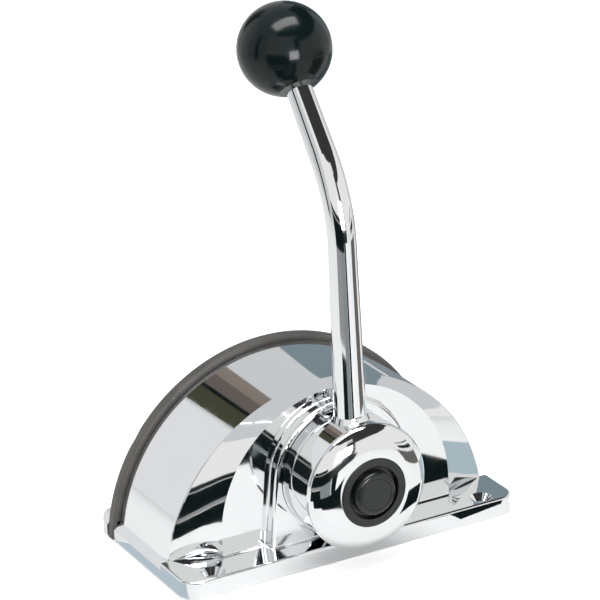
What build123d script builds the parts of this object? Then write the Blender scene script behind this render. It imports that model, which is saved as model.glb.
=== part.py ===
"""Single-lever throttle and shift control for a boat, as an assembly of separate parts.

Millimetres. X runs along the boat, +Y points to the closed back of the housing, +Z is up.
The origin is the centre of the four deck screw holes, on the underside of the flange.
"""
import os
from math import acos, asin, atan2, cos, degrees, pi, radians, sin, sqrt, tan

from build123d import *

os.makedirs("parts", exist_ok=True)

# Deck flange
flange_overhang = 3.0
flange_depth = 109.0
flange_thickness = 10.4
flange_corner_r = 10.0
flange_edge_r = 1.2
side_band = 6.5
ear_inset = 3.0
deck_hole_inset_x = 19.0
deck_hole_inset_y = 7.2
deck_hole_r = 3.3
deck_csk_r = 6.5
pocket_inset_x = 17.0
pocket_margin = 4.0

# Drum, sloped crescent and flat front plate of the housing
wall = 3.2
drum_r = 98.5
drum_centre_z = -6.0
drum_front_y = -23.5
drum_depth = 56.5
plate_forward = 11.0
arch_step = 1.5
arch_spring_z = 21.0
plate_wall = 4.0

# Pedestal round the hub
pivot_z = 45.4
pedestal_half_width = 40.5
pedestal_foot = 44.5
pedestal_height = 7.0
pedestal_edge_r = 2.0
cast_edge_r = 1.0
cast_corner_r = 1.3
hub_seat_r = 37.5
hub_seat_depth = 3.0

# Hub and its domed front
hub_r = 35.0
hub_length = 26.5
hub_gap = 0.5
dome_length = 9.0
dome_edge_r = 4.0
dome_step = 0.6
dome_lip = 1.5
dome_crown = 2.2
bezel_proud = 0.4

# Bezel, button and clutch rod
bezel_r = 19.3
bezel_inner_r = 14.9
bezel_depth = 7.0
bezel_fit = 0.03
button_r = 12.15
button_fit = 0.10
button_travel = 4.0
button_stand = 3.0
button_disc_r = 8.8
button_disc_thickness = 1.0
spring_wire = 1.0
spring_turns = 3
clutch_rod_r = 3.0
clutch_rod_fit = 0.06

# Lever rod and ball knob
rod_root_back = 13.7
rod_root_r = 8.8
rod_bend_r_section = 7.5
rod_tip_r = 7.0
rod_lean = 1.7
rod_bend = 36.6
rod_bend_radius = 76.0
rod_straight = 94.5
rod_foot_r = 10.2
rod_foot_height = 3.2
rod_seat_r = 33.6
rod_spigot_r = 6.0
rod_spigot_length = 17.0
rod_upper = 39.5
knob_r = 25.0
knob_flat = 22.5
knob_thread_r = 4.0
knob_thread_length = 14.0
insert_r = 7.0
insert_length = 18.0

# Shaft, bushes and what turns with the shaft
shaft_r = 8.0
shaft_fit = 0.04
bush_wall = 3.0
bush_flange_r = 15.0
bush_flange = 2.0
boss_wall = 5.0
boss_inner_length = 6.5
gear_module = 1.75
pinion_teeth = 16
sector_teeth = 32
gear_width = 7.0
gear_gap = 0.4
clutch_pin_r = 1.5
clutch_pin_half = 10.4
clutch_space = 5.0
detent_r = 20.0
detent_width = 4.0
detent_notch = 2.0
detent_step = 28.0
cam_rise = 2.0
throttle_radius = 36.0
throttle_thickness = 5.0
arm_boss_r = 5.2
sleeve_r = 12.0
sleeve_length = 12.5
cable_pin_r = 3.0
cable_pin_reach = 13.0
cable_shank_r = 2.4
rivet_r = 4.4
rivet_thickness = 1.4
clip_thickness = 1.0

# Shift arm
shift_radius = 24.0
shift_drop = 14.3
shift_pin_r = 4.0
sector_span = 52.0

# Back cover
cover_rim_proud = 3.5
cover_rim_depth = 7.4
cover_neck = 0.9
cover_gap = 0.3
cover_wall = 3.0
cover_rim_edge_r = 1.8
cover_screw_r = 2.0
cover_post_r = 5.5

# Friction brake, detent leaf, cable clamps, neutral switch
brake_screw_r = 4.0
brake_half_width = 7.0
running_gap = 0.05
part_gap = 0.3
leaf_thickness = 0.8
leaf_width = 5.0
leaf_pad_height = 6.0
leaf_pad_length = 12.0
leaf_screw_r = 2.0
saddle_groove_r = 4.2
saddle_thickness = 1.5
saddle_length = 7.0
switch_x = 5.0
switch_height = 20.0
switch_depth = 6.0
switch_body = 10.0
plunger_r = 1.4
plunger_travel = 1.5

# Positions that follow from the sizes above
flange_length = 2 * (drum_r + flange_overhang)
deck_hole_spacing_x = flange_length - 2 * deck_hole_inset_x
arch_r = drum_centre_z + drum_r - arch_step - arch_spring_z
drum_back_y = drum_front_y + drum_depth
plate_y = drum_front_y - plate_forward
pedestal_y = plate_y - pedestal_height
seat_y = pedestal_y + hub_seat_depth
hub_back_y = seat_y - hub_gap
dome_back_y = hub_back_y - hub_length
dome_front_y = dome_back_y - dome_length
cover_back_y = drum_back_y + cover_gap + cover_neck + cover_rim_depth
deck_hole_y = flange_depth / 2 - deck_hole_inset_y
notch_back_y = cover_back_y + cover_gap
inner_r = drum_r - wall
plate_inner_y = plate_y + plate_wall


def at_y(y):
    """Sketch plane across the housing at depth y, drawn as seen from the front."""
    return Plane.XZ.offset(-y)


def on_y(face, y):
    """True for a face whose middle lies at depth y."""
    return abs(face.center().Y - y) < 0.01


def lies_across(edge, y):
    """True for an edge above the flange that stays at depth y."""
    box = edge.bounding_box()
    flat = abs(box.min.Y - y) < 0.01 and abs(box.max.Y - y) < 0.01
    return flat and edge.center().Z > flange_thickness + 0.5


def runs_on_flange(edge):
    """True for an edge beside the pedestal where the front meets the top of the flange."""
    box = edge.bounding_box()
    top = flange_thickness
    flat = abs(box.min.Z - top) < 0.01 and abs(box.max.Z - top) < 0.01
    return flat and pedestal_y + 0.1 < edge.center().Y < drum_front_y - 0.1


def is_inside_arch(edge):
    """True for an edge of the flat plate that isn't part of the arch round it."""
    return abs(edge.center().X) < arch_r - 1 and edge.center().Z < arch_top_z - 1


# Housing: one die casting, open underneath and at the back
root_z = flange_thickness - 1.0
ramp_half = sqrt(drum_r**2 - (root_z - drum_centre_z) ** 2)
split_half = sqrt(drum_r**2 - (arch_spring_z - drum_centre_z) ** 2)
mid_angle = asin((root_z + arch_spring_z - 2 * drum_centre_z) / 2 / drum_r)
mid_x = drum_r * cos(mid_angle)
mid_z = drum_centre_z + drum_r * sin(mid_angle)
drum_top_z = drum_centre_z + drum_r
foot_x = sqrt(drum_r**2 - (flange_thickness - drum_centre_z) ** 2)
foot_reach = sqrt(pedestal_foot**2 + (pivot_z - root_z) ** 2)
flank_angle = acos(pedestal_half_width / foot_reach) - atan2(pivot_z - root_z, pedestal_foot)
flank_x = pedestal_half_width * cos(flank_angle)
flank_z = pivot_z + pedestal_half_width * sin(flank_angle)
arch_top_z = arch_spring_z + arch_r
post_angles = (18, 65, 115, 162)
post_orbit = inner_r - 4.0
post_places = [
    (post_orbit * cos(radians(a)), drum_centre_z + post_orbit * sin(radians(a)))
    for a in post_angles
]
cavity_arch_r = arch_r - wall
cavity_ramp_r = inner_r - 1.0
cavity_half = sqrt(cavity_ramp_r**2 - drum_centre_z**2)
cavity_split = sqrt(cavity_ramp_r**2 - (arch_spring_z - drum_centre_z) ** 2)
cavity_mid = asin((arch_spring_z - 2 * drum_centre_z) / 2 / cavity_ramp_r)
bush_r = shaft_r + shaft_fit + bush_wall
shift_x = -sqrt(((pinion_teeth + sector_teeth) * gear_module / 2) ** 2 - shift_drop**2)
shift_z = pivot_z - shift_drop
pinion_front_y = plate_inner_y + boss_inner_length + gear_gap
detent_front_y = pinion_front_y + gear_width + clutch_space
sleeve_front_y = detent_front_y + detent_width + 1.0
throttle_front_y = sleeve_front_y + sleeve_length
detent_mid_y = detent_front_y + detent_width / 2
leaf_base_z = pivot_z + detent_r + 3.6
ledge_top = 8.5
ledge_y = throttle_front_y + throttle_thickness + cable_pin_reach / 2
throttle_ledge_x = throttle_radius + saddle_groove_r
sheath_x = shift_x - shift_radius - 1.0
shift_ledge_x = sheath_x - saddle_groove_r
shift_cable_y = pinion_front_y + gear_width + cable_pin_reach / 2
ledge_width = 22.0
switch_front_x = detent_r + cam_rise + switch_x
switch_z = pivot_z - switch_height / 2
brake_top_z = 19.0
brake_y = sleeve_front_y + sleeve_length / 2 - 1.6
brake_back_y = throttle_front_y - rivet_thickness - 0.5
leaf_top_z = leaf_base_z + leaf_thickness
leaf_roof_z = leaf_top_z + leaf_pad_height
leaf_end_x = -sqrt(inner_r**2 - (leaf_roof_z - drum_centre_z) ** 2)
leaf_screw_x = leaf_end_x + leaf_pad_length / 2

with BuildPart() as housing:
    with BuildSketch(Plane.XY):
        RectangleRounded(flange_length, flange_depth, flange_corner_r)
    extrude(amount=flange_thickness)
    fillet(housing.edges().group_by(Axis.Z)[-1], flange_edge_r)
    # drum
    with BuildSketch(at_y(drum_front_y)):
        with Locations((0, drum_centre_z)):
            Circle(drum_r)
        with Locations((0, drum_r / 2)):
            Rectangle(2 * drum_r, drum_r, mode=Mode.INTERSECT)
    extrude(amount=-drum_depth)
    # crescent ramp from the drum's front edge in to the flat arched plate
    with BuildSketch(at_y(drum_front_y)) as ramp_back:
        with BuildLine():
            ThreePointArc((-ramp_half, root_z), (-mid_x, mid_z), (-split_half, arch_spring_z))
            ThreePointArc((-split_half, arch_spring_z), (0, drum_top_z), (split_half, arch_spring_z))
            ThreePointArc((split_half, arch_spring_z), (mid_x, mid_z), (ramp_half, root_z))
            Line((ramp_half, root_z), (-ramp_half, root_z))
        make_face()
    with BuildSketch(at_y(plate_y)) as ramp_front:
        with BuildLine():
            Line((-arch_r, root_z), (-arch_r, arch_spring_z))
            ThreePointArc((-arch_r, arch_spring_z), (0, arch_top_z), (arch_r, arch_spring_z))
            Line((arch_r, arch_spring_z), (arch_r, root_z))
            Line((arch_r, root_z), (-arch_r, root_z))
        make_face()
    loft(ruled=True)
    # raised pedestal with a round head on the pivot
    with BuildSketch(at_y(plate_y)):
        with Locations((0, pivot_z)):
            Circle(pedestal_half_width)
        Polygon(
            (-pedestal_foot, root_z),
            (pedestal_foot, root_z),
            (flank_x, flank_z),
            (-flank_x, flank_z),
            align=None,
        )
    extrude(amount=pedestal_height)
    pedestal_face = housing.faces().filter_by(Plane.XZ).filter_by(lambda f: on_y(f, pedestal_y))
    fillet(pedestal_face.edges().filter_by(lambda e: e.center().Z > root_z + 2), pedestal_edge_r)
    # small radii that the casting carries along its edges and its inside corners
    drum_edge = housing.edges().filter_by(lambda e: lies_across(e, drum_front_y))
    fillet(drum_edge, cast_edge_r)
    plate_edges = housing.edges().filter_by(lambda e: lies_across(e, plate_y))
    fillet(plate_edges.filter_by(lambda e: is_inside_arch(e)), cast_edge_r)
    foot_edges = housing.edges().filter_by(lambda e: runs_on_flange(e))
    fillet(foot_edges.filter_by(lambda e: is_inside_arch(e)), cast_corner_r)
    # hollow inside, open to the deck and to the back
    with BuildSketch(at_y(drum_back_y)):
        with Locations((0, drum_centre_z)):
            Circle(inner_r)
        with Locations((0, drum_r / 2 - wall)):
            Rectangle(2 * drum_r, drum_r, mode=Mode.INTERSECT)
    extrude(amount=drum_depth - wall, mode=Mode.SUBTRACT)
    with BuildSketch(at_y(drum_front_y + wall)) as cavity_back:
        with BuildLine():
            cavity_mid_point = (
                cavity_ramp_r * cos(cavity_mid),
                drum_centre_z + cavity_ramp_r * sin(cavity_mid),
            )
            ThreePointArc(
                (-cavity_half, 0),
                (-cavity_mid_point[0], cavity_mid_point[1]),
                (-cavity_split, arch_spring_z),
            )
            ThreePointArc(
                (-cavity_split, arch_spring_z),
                (0, drum_centre_z + cavity_ramp_r),
                (cavity_split, arch_spring_z),
            )
            ThreePointArc((cavity_split, arch_spring_z), cavity_mid_point, (cavity_half, 0))
            Line((cavity_half, 0), (-cavity_half, 0))
        make_face()
    with BuildSketch(at_y(plate_inner_y)) as cavity_front:
        with BuildLine():
            Line((-cavity_arch_r, 0), (-cavity_arch_r, arch_spring_z))
            ThreePointArc(
                (-cavity_arch_r, arch_spring_z),
                (0, arch_spring_z + cavity_arch_r - wall),
                (cavity_arch_r, arch_spring_z),
            )
            Line((cavity_arch_r, arch_spring_z), (cavity_arch_r, 0))
            Line((cavity_arch_r, 0), (-cavity_arch_r, 0))
        make_face()
    loft(ruled=True, mode=Mode.SUBTRACT)
    # screw posts for the back cover
    with BuildSketch(at_y(drum_back_y)):
        with Locations(*post_places):
            Circle(cover_post_r)
    extrude(amount=drum_depth - wall / 2)
    # shaft boss, shift pin boss
    with BuildSketch(at_y(plate_inner_y - 0.5)):
        with Locations((0, pivot_z)):
            Circle(bush_r + boss_wall)
        with Locations((shift_x, shift_z)):
            Circle(shift_pin_r + boss_wall)
    extrude(amount=-(boss_inner_length + 0.5))
    # pad that carries the detent leaf, hung from the drum's roof
    with BuildSketch(Plane.XY.offset(leaf_top_z + 0.02)):
        with Locations((leaf_screw_x, detent_mid_y)):
            Rectangle(leaf_pad_length, leaf_width + 4)
    extrude(amount=drum_top_z - leaf_top_z)
    # rib for the friction brake screw
    with BuildSketch(at_y(plate_inner_y - 0.5)):
        with Locations((0, brake_top_z / 2 + 4)):
            Rectangle(2 * brake_half_width, brake_top_z - 8)
    extrude(amount=-(brake_back_y - plate_inner_y + 0.5))
    # ledges for the two cable sheaths
    for ledge_x, depth_y in ((throttle_ledge_x, ledge_y), (shift_ledge_x, shift_cable_y)):
        side = 1 if ledge_x > 0 else -1
        reach = inner_r - 0.5 - abs(ledge_x)
        with BuildSketch(Plane.XY.offset(1.0)):
            with Locations((ledge_x + side * reach / 2, depth_y)):
                Rectangle(reach, ledge_width)
        extrude(amount=ledge_top - 1.0)
        with BuildSketch(Plane.YZ.offset(ledge_x)):
            with Locations((depth_y - 8, 4.8), (depth_y + 8, 4.8)):
                Circle(1.5)
        extrude(amount=side * 10, mode=Mode.SUBTRACT)
    # pad for the neutral switch
    with BuildSketch(at_y(plate_inner_y - 0.5)):
        with Locations((switch_front_x + switch_body / 2, pivot_z)):
            Rectangle(switch_body, switch_height + 4)
    switch_pad_y = detent_mid_y - switch_depth / 2
    extrude(amount=-(switch_pad_y - plate_inner_y + 0.5))
    # lightening pockets under the front and back of the flange
    pocket_edge_y = flange_depth / 2 - pocket_margin
    for near_y, far_y in ((plate_y - 3, -pocket_edge_y), (drum_back_y + pocket_margin, pocket_edge_y)):
        with BuildSketch(Plane.XY):
            with Locations((0, (near_y + far_y) / 2)):
                RectangleRounded(deck_hole_spacing_x - 2 * pocket_inset_x, abs(far_y - near_y), 3)
        extrude(amount=flange_thickness - pocket_margin, mode=Mode.SUBTRACT)
    # trim anything that would pass outside the drum
    with BuildSketch(at_y(drum_back_y)):
        with Locations((0, drum_centre_z)):
            Circle(2 * drum_r)
            Circle(drum_r, mode=Mode.SUBTRACT)
        with Locations((0, flange_thickness + drum_r / 2)):
            Rectangle(4 * drum_r, drum_r, mode=Mode.INTERSECT)
    extrude(amount=drum_depth - 1, mode=Mode.SUBTRACT)
    # seat and turning room for the hub, bore for the bush, threads and pin holes
    with BuildSketch(at_y(pedestal_y)):
        with Locations((0, pivot_z)):
            Circle(hub_seat_r)
    extrude(amount=-hub_seat_depth, mode=Mode.SUBTRACT)
    with BuildSketch(at_y(pedestal_y)):
        with Locations((0, pivot_z)):
            Circle(hub_r + hub_gap)
    extrude(amount=hub_length, mode=Mode.SUBTRACT)
    with BuildSketch(at_y(pedestal_y)):
        with Locations((0, pivot_z)):
            Circle(bush_r)
    extrude(amount=-(plate_inner_y + boss_inner_length - pedestal_y), mode=Mode.SUBTRACT)
    with BuildSketch(at_y(plate_inner_y + boss_inner_length)):
        with Locations((shift_x, shift_z)):
            Circle(shift_pin_r)
    extrude(amount=boss_inner_length, mode=Mode.SUBTRACT)
    with BuildSketch(at_y(drum_back_y)):
        with Locations(*post_places):
            Circle(cover_screw_r)
    extrude(amount=16, mode=Mode.SUBTRACT)
    with BuildSketch(Plane.XY.offset(leaf_base_z)):
        with Locations((leaf_screw_x, detent_mid_y)):
            Circle(leaf_screw_r)
    extrude(amount=9, mode=Mode.SUBTRACT)
    with BuildSketch(Plane.XY):
        with Locations((0, brake_y)):
            Circle(brake_screw_r)
    extrude(amount=brake_top_z + 1, mode=Mode.SUBTRACT)
    with BuildSketch(at_y(switch_pad_y)):
        with Locations(
            (switch_front_x + switch_body / 2, pivot_z - 6),
            (switch_front_x + switch_body / 2, pivot_z + 6),
        ):
            Circle(1.25)
    extrude(amount=8, mode=Mode.SUBTRACT)
    # deck screw holes, countersunk; notches for the cover's rim; sides that slope to the drum
    for sx in (-1, 1):
        for sy in (-1, 1):
            with Locations((sx * deck_hole_spacing_x / 2, sy * deck_hole_y, flange_thickness)):
                CounterSinkHole(deck_hole_r, deck_csk_r, depth=flange_thickness)
        with BuildSketch(Plane.XY):
            with Locations((sx * flange_length / 2, (drum_back_y + notch_back_y) / 2)):
                Rectangle(2 * ear_inset, notch_back_y - drum_back_y)
        extrude(amount=flange_thickness + 1, mode=Mode.SUBTRACT)
        with BuildSketch(at_y(drum_front_y)):
            Polygon(
                (sx * foot_x, flange_thickness),
                (sx * flange_length / 2, side_band),
                (sx * (flange_length / 2 + 1), side_band),
                (sx * (flange_length / 2 + 1), flange_thickness + 1),
                (sx * foot_x, flange_thickness + 1),
                align=None,
            )
        extrude(amount=-flange_depth, mode=Mode.SUBTRACT)
housing.part.label = "housing"
export_step(housing.part, "parts/housing.step")

# Back cover: moulded cap whose rim wraps the back edge of the drum and reaches the deck
cover_front_y = drum_back_y + cover_gap
rim_front_y = cover_front_y + cover_neck
rim_r = drum_r + cover_rim_proud
cover_floor_z = flange_thickness + part_gap
leg_inner_x = flange_length / 2 - ear_inset + part_gap
cover_wall_y = cover_back_y - cover_wall
bush_length = 9.0
boss_front_y = cover_wall_y - bush_length
screw_head_r = 3.6
screw_head = 2.6

with BuildPart() as rear_cover:
    with BuildSketch(at_y(rim_front_y)):
        with Locations((0, drum_centre_z)):
            Circle(rim_r)
        with Locations((0, part_gap + rim_r / 2)):
            Rectangle(3 * rim_r, rim_r, mode=Mode.INTERSECT)
    extrude(amount=-cover_rim_depth)
    rim_arcs = rear_cover.edges().filter_by(GeomType.CIRCLE)
    fillet(rim_arcs, cover_rim_edge_r)
    with BuildSketch(at_y(cover_front_y)):
        with Locations((0, drum_centre_z)):
            Circle(drum_r - 1.5)
        with Locations((0, cover_floor_z + rim_r / 2)):
            Rectangle(3 * rim_r, rim_r, mode=Mode.INTERSECT)
    extrude(amount=-cover_neck - 1)
    with BuildSketch(at_y(cover_front_y)):
        with Locations((0, (cover_floor_z - 20) / 2)):
            Rectangle(2 * leg_inner_x, cover_floor_z + 20)
    extrude(amount=-cover_rim_depth - 2, mode=Mode.SUBTRACT)
    with BuildSketch(at_y(cover_front_y)):
        with Locations((0, drum_centre_z)):
            Circle(inner_r - 1)
        with Locations((0, cover_floor_z + cover_wall + rim_r / 2)):
            Rectangle(3 * rim_r, rim_r, mode=Mode.INTERSECT)
    extrude(amount=-(cover_wall_y - cover_front_y), mode=Mode.SUBTRACT)
    with BuildSketch(at_y(cover_front_y)):
        with Locations(*post_places):
            Circle(cover_post_r)
    extrude(amount=-(cover_wall_y - cover_front_y + 0.5))
    with BuildSketch(at_y(boss_front_y)):
        with Locations((0, pivot_z)):
            Circle(bush_r + boss_wall)
    extrude(amount=-(bush_length + 0.5))
    with BuildSketch(at_y(boss_front_y)):
        with Locations((0, pivot_z)):
            Circle(bush_r)
    extrude(amount=-bush_length, mode=Mode.SUBTRACT)
    with BuildSketch(at_y(cover_front_y)):
        with Locations(*post_places):
            Circle(cover_screw_r + 0.2)
    extrude(amount=-(cover_back_y - cover_front_y), mode=Mode.SUBTRACT)
    with BuildSketch(at_y(cover_back_y)):
        with Locations(*post_places):
            Circle(screw_head_r + 0.2)
    extrude(amount=screw_head, mode=Mode.SUBTRACT)
    # scallops that let the driver reach the two deck screws behind the cover
    with BuildSketch(Plane.XY):
        with Locations(
            (-deck_hole_spacing_x / 2, deck_hole_y),
            (deck_hole_spacing_x / 2, deck_hole_y),
        ):
            Circle(deck_csk_r + 1.0)
    extrude(amount=rim_r, mode=Mode.SUBTRACT)
rear_cover.part.label = "rear_cover"
export_step(rear_cover.part, "parts/rear_cover.step")

with BuildPart() as cover_screws:
    with BuildSketch(at_y(cover_back_y - 0.2)):
        with Locations(*post_places):
            Circle(screw_head_r)
            RegularPolygon(1.6, 6, mode=Mode.SUBTRACT)
    extrude(amount=screw_head - 0.2)
    with BuildSketch(at_y(cover_back_y - screw_head)):
        with Locations(*post_places):
            Circle(cover_screw_r)
    extrude(amount=18)
cover_screws.part.label = "cover_screws"
export_step(cover_screws.part, "parts/cover_screws.step")

# Lever hub: turned and plated, domed front, bored from both ends
bezel_face_y = dome_front_y - bezel_proud
bezel_back_y = dome_front_y + bezel_depth
button_front_y = bezel_face_y - button_stand
button_flange_r = button_r + 1.3
button_flange = 1.5
recess_floor_y = bezel_back_y + 0.3 + button_flange + button_travel + 0.2
shaft_front_y = recess_floor_y + 2.2
dome_full_r = hub_r + dome_step
dome_start_y = dome_back_y - dome_lip
chord_y = dome_front_y - dome_start_y
chord_r = dome_full_r - bezel_r
chord = sqrt(chord_y**2 + chord_r**2)
dome_mid_y = (dome_start_y + dome_front_y) / 2 - dome_crown * chord_r / chord
dome_mid_r = (dome_full_r + bezel_r) / 2 - dome_crown * chord_y / chord
rod_axis_y = hub_back_y - rod_root_back
lever_plane = Plane(
    origin=(0, rod_axis_y, pivot_z),
    x_dir=(1, 0, 0),
    z_dir=(0, sin(radians(rod_lean)), cos(radians(rod_lean))),
)
grub_r = 2.5
grub_height = rod_seat_r - rod_spigot_length / 2
pivot_axis = Axis((0, 0, pivot_z), (0, 1, 0))

with BuildPart() as lever_hub:
    with BuildSketch(at_y(hub_back_y)):
        with Locations((0, pivot_z)):
            Circle(hub_r)
    extrude(amount=hub_length)
    with BuildSketch(Plane.YZ):
        with BuildLine():
            Line((dome_back_y, pivot_z), (dome_back_y, pivot_z + dome_full_r))
            Line((dome_back_y, pivot_z + dome_full_r), (dome_start_y, pivot_z + dome_full_r))
            ThreePointArc(
                (dome_start_y, pivot_z + dome_full_r),
                (dome_mid_y, pivot_z + dome_mid_r),
                (dome_front_y, pivot_z + bezel_r),
            )
            Line((dome_front_y, pivot_z + bezel_r), (dome_front_y, pivot_z))
            Line((dome_front_y, pivot_z), (dome_back_y, pivot_z))
        make_face()
    revolve(axis=pivot_axis)
    dome_edge = lever_hub.edges().filter_by(GeomType.CIRCLE)
    dome_edge = dome_edge.filter_by(lambda e: abs(e.center().Y - dome_start_y) < 0.01)
    fillet(dome_edge, dome_edge_r)
    with BuildSketch(at_y(dome_front_y - 1)):
        with Locations((0, pivot_z)):
            Circle(bezel_r + bezel_fit)
    extrude(amount=-(bezel_depth + 1), mode=Mode.SUBTRACT)
    with BuildSketch(at_y(bezel_back_y)):
        with Locations((0, pivot_z)):
            Circle(button_flange_r + 0.7)
    extrude(amount=-(recess_floor_y - bezel_back_y), mode=Mode.SUBTRACT)
    with BuildSketch(at_y(recess_floor_y)):
        with Locations((0, pivot_z)):
            Circle(clutch_rod_r + 0.5)
    extrude(amount=-(hub_back_y - recess_floor_y), mode=Mode.SUBTRACT)
    with BuildSketch(at_y(hub_back_y)):
        with Locations((0, pivot_z)):
            Circle(shaft_r)
    extrude(amount=hub_back_y - shaft_front_y + 0.2, mode=Mode.SUBTRACT)
    with BuildSketch(at_y(hub_back_y)):
        with Locations((0, pivot_z)):
            Circle(bush_flange_r + 1)
    extrude(amount=bush_flange - hub_gap + 0.4, mode=Mode.SUBTRACT)
    with BuildSketch(lever_plane.offset(rod_seat_r)):
        Circle(rod_foot_r + 0.1)
    extrude(amount=hub_r, mode=Mode.SUBTRACT)
    with BuildSketch(lever_plane.offset(rod_seat_r)):
        Circle(rod_spigot_r)
    extrude(amount=-(rod_spigot_length + 0.3), mode=Mode.SUBTRACT)
    with BuildSketch(Plane.XY.offset(pivot_z - hub_r - 1)):
        with Locations((0, hub_back_y - 9)):
            Circle(grub_r)
    extrude(amount=hub_r + 1, mode=Mode.SUBTRACT)
    with BuildSketch(at_y(hub_back_y)):
        with Locations((0, pivot_z + grub_height)):
            Circle(grub_r)
    extrude(amount=rod_root_back - rod_spigot_r + 2, mode=Mode.SUBTRACT)
lever_hub.part.label = "lever_hub"
export_step(lever_hub.part, "parts/lever_hub.step")

# Lever rod: tapered, bent once towards the housing
total_lean = radians(rod_lean + rod_bend)
bend_start = lever_plane.offset(rod_seat_r + rod_straight)
bend_centre = bend_start.origin + bend_start.y_dir * rod_bend_radius
upper_y_dir = Vector(0, cos(total_lean), -sin(total_lean))
upper_plane = Plane(
    origin=bend_centre - upper_y_dir * rod_bend_radius,
    x_dir=(1, 0, 0),
    z_dir=(0, sin(total_lean), cos(total_lean)),
)
lower_taper = degrees(atan2(rod_root_r - rod_bend_r_section, rod_straight))
upper_taper = degrees(atan2(rod_bend_r_section - rod_tip_r, rod_upper))
foot_taper = degrees(atan2(rod_foot_r - rod_root_r, rod_foot_height))

with BuildPart() as lever_rod:
    with BuildSketch(lever_plane.offset(rod_seat_r)):
        Circle(rod_root_r)
    extrude(amount=rod_straight, taper=lower_taper)
    with BuildSketch(lever_plane.offset(rod_seat_r)):
        Circle(rod_foot_r)
    extrude(amount=rod_foot_height, taper=foot_taper)
    with BuildSketch(bend_start):
        Circle(rod_bend_r_section)
    revolve(axis=Axis(bend_centre, (-1, 0, 0)), revolution_arc=rod_bend)
    with BuildSketch(upper_plane):
        Circle(rod_bend_r_section)
    extrude(amount=rod_upper, taper=upper_taper)
    with BuildSketch(lever_plane.offset(rod_seat_r)):
        Circle(rod_spigot_r)
    extrude(amount=-rod_spigot_length)
    with BuildSketch(upper_plane.offset(rod_upper)):
        Circle(knob_thread_r)
    extrude(amount=knob_thread_length)
lever_rod.part.label = "lever_rod"
export_step(lever_rod.part, "parts/lever_rod.step")

with BuildPart() as grub_screws:
    with BuildSketch(Plane.XY.offset(pivot_z - shaft_r - 8)):
        with Locations((0, hub_back_y - 9)):
            Circle(grub_r)
            RegularPolygon(1.3, 6, mode=Mode.SUBTRACT)
    extrude(amount=6)
    with BuildSketch(Plane.XY.offset(pivot_z - shaft_r - 2)):
        with Locations((0, hub_back_y - 9)):
            Circle(grub_r)
    extrude(amount=2 - running_gap)
    with BuildSketch(at_y(hub_back_y - 1)):
        with Locations((0, pivot_z + grub_height)):
            Circle(grub_r)
            RegularPolygon(1.3, 6, mode=Mode.SUBTRACT)
    extrude(amount=rod_root_back - rod_spigot_r - 2.2)
grub_screws.part.label = "grub_screws"
export_step(grub_screws.part, "parts/grub_screws.step")

# Ball knob with a moulded-in hexagon insert
knob_plane = upper_plane.offset(rod_upper + knob_flat)

with BuildPart(knob_plane) as knob:
    Sphere(knob_r)
    with BuildSketch(knob_plane.offset(-knob_flat)):
        Circle(knob_r)
    extrude(amount=-knob_r, mode=Mode.SUBTRACT)
    with BuildSketch(knob_plane.offset(-knob_flat)):
        RegularPolygon(insert_r, 6)
    extrude(amount=insert_length, mode=Mode.SUBTRACT)
knob.part.label = "knob"
export_step(knob.part, "parts/knob.step")

with BuildPart() as knob_insert:
    with BuildSketch(knob_plane.offset(-knob_flat)):
        RegularPolygon(insert_r, 6)
    extrude(amount=insert_length)
    with BuildSketch(knob_plane.offset(-knob_flat)):
        Circle(knob_thread_r)
    extrude(amount=knob_thread_length + 1, mode=Mode.SUBTRACT)
knob_insert.part.label = "knob_insert"
export_step(knob_insert.part, "parts/knob_insert.step")

# Bezel ring with a guide sleeve for the button
sleeve_wall = 1.2

with BuildPart() as hub_bezel:
    with BuildSketch(at_y(bezel_back_y)):
        with Locations((0, pivot_z)):
            Circle(bezel_r)
            Circle(button_r + button_fit, mode=Mode.SUBTRACT)
    extrude(amount=bezel_back_y - bezel_face_y)
    fillet(hub_bezel.edges().group_by(Axis.Y)[0].sort_by(SortBy.RADIUS)[-1:], 0.8)
    with BuildSketch(at_y(bezel_face_y)):
        with Locations((0, pivot_z)):
            Circle(bezel_inner_r)
            Circle(button_r + button_fit + sleeve_wall, mode=Mode.SUBTRACT)
    extrude(amount=-4.5, mode=Mode.SUBTRACT)
    with BuildSketch(at_y(bezel_face_y)):
        with Locations((0, pivot_z)):
            Circle(button_r + button_fit + sleeve_wall)
    extrude(amount=-2.5, mode=Mode.SUBTRACT)
hub_bezel.part.label = "hub_bezel"
export_step(hub_bezel.part, "parts/hub_bezel.step")

# Push button, hollow for its spring, with a plain disc in its face
button_back_y = bezel_back_y + 0.3 + button_flange
button_roof_y = button_front_y + 3.2

with BuildPart() as push_button:
    with BuildSketch(at_y(button_back_y)):
        with Locations((0, pivot_z)):
            Circle(button_r)
    extrude(amount=button_back_y - button_front_y)
    fillet(push_button.edges().group_by(Axis.Y)[0], 2.6)
    with BuildSketch(at_y(button_back_y)):
        with Locations((0, pivot_z)):
            Circle(button_flange_r)
    extrude(amount=button_flange)
    with BuildSketch(at_y(button_back_y)):
        with Locations((0, pivot_z)):
            Circle(button_r - 2.4)
            Circle(clutch_rod_r + 1.4, mode=Mode.SUBTRACT)
    extrude(amount=button_back_y - button_roof_y, mode=Mode.SUBTRACT)
    with BuildSketch(at_y(button_back_y)):
        with Locations((0, pivot_z)):
            Circle(clutch_rod_r + 1.5)
    extrude(amount=button_back_y - button_roof_y - 5, mode=Mode.SUBTRACT)
    with BuildSketch(at_y(button_back_y)):
        with Locations((0, pivot_z)):
            Circle(clutch_rod_r)
    extrude(amount=button_back_y - button_roof_y, mode=Mode.SUBTRACT)
    with BuildSketch(at_y(button_front_y)):
        with Locations((0, pivot_z)):
            Circle(button_disc_r + running_gap)
    extrude(amount=-button_disc_thickness, mode=Mode.SUBTRACT)
push_button.part.label = "push_button"
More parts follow.
